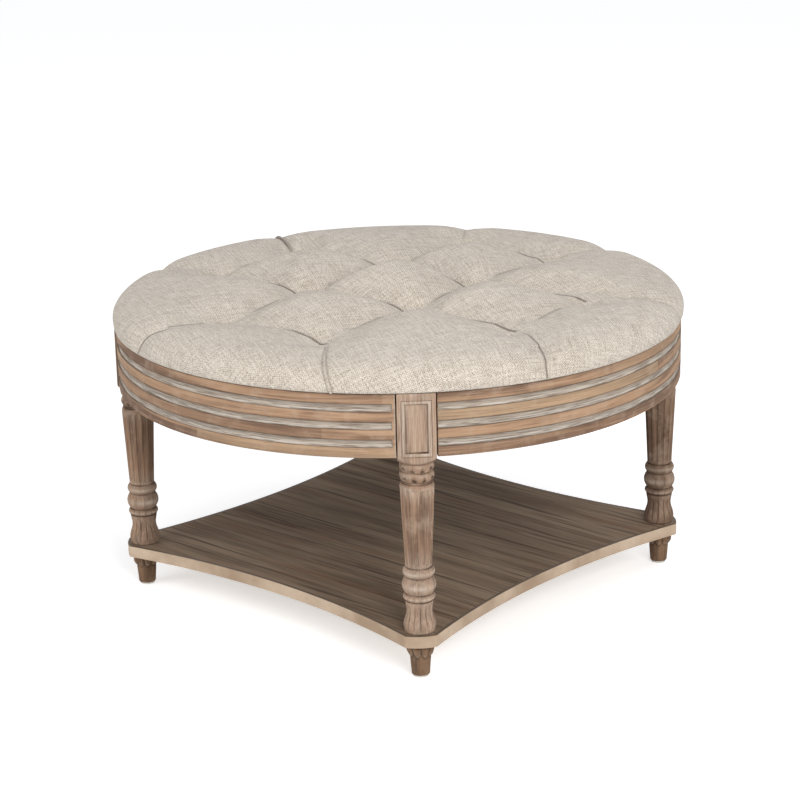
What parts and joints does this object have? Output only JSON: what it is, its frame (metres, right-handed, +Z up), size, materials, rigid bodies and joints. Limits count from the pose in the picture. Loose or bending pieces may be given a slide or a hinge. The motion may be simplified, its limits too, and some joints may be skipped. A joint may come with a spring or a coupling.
{
  "type": "ottoman coffee table",
  "caption": "Round ottoman coffee table: tufted fabric seat on a reeded curved apron, fluted turned legs and a low shelf with hollow sides.",
  "frame": {"origin": "on the floor under the middle of the seat", "axes": "+Z up, the front towards -Y, the legs on the diagonals between X and Y"},
  "size_m": [0.799, 0.799, 0.4699],
  "materials": {
    "leg_wood": "weathered pinkish grey-brown with a pale wash",
    "apron_wood": "warm brown bands, grey-white limewash in the flutes",
    "shelf_veneer": "dark grey-brown fine-grained veneer",
    "shelf_edge": "pale tan lipping",
    "inner_wood": "plain unfinished",
    "seat_fabric": "beige linen weave",
    "foam": "open-cell foam",
    "black_lining": "black non-woven lining",
    "twine": "waxed twine",
    "steel": "zinc plated",
    "glide": "pale nylon"
  },
  "bodies": {
    "root": {"leg_front_left": "leg_wood", "leg_front_right": "leg_wood", "leg_back_right": "leg_wood", "leg_back_left": "leg_wood", "foot_front_left": "leg_wood", "foot_front_right": "leg_wood", "foot_back_right": "leg_wood", "foot_back_left": "leg_wood", "apron_front": "apron_wood", "apron_right": "apron_wood", "apron_back": "apron_wood", "apron_left": "apron_wood", "corner_block_front_left": "inner_wood", "corner_block_front_right": "inner_wood", "corner_block_back_right": "inner_wood", "corner_block_back_left": "inner_wood", "shelf_panel": "inner_wood", "shelf_veneer": "shelf_veneer", "shelf_nose_front_left": "shelf_edge", "shelf_nose_front_right": "shelf_edge", "shelf_nose_back_right": "shelf_edge", "shelf_nose_back_left": "shelf_edge", "shelf_edge_front": "shelf_edge", "shelf_edge_right": "shelf_edge", "shelf_edge_back": "shelf_edge", "shelf_edge_left": "shelf_edge", "seat_board": "inner_wood", "seat_foam": "foam", "seat_cover": "seat_fabric", "dust_cover": "black_lining", "tufting_twine": "twine", "cover_staples": "steel", "dust_cover_staples": "steel", "foot_studs": "steel", "threaded_inserts": "steel", "hanger_bolts": "steel", "bolt_washers": "steel", "bolt_nuts": "steel", "seat_screws": "steel", "foot_glides": "glide", "rail_tenons": "inner_wood"}
  },
  "joints": []
}
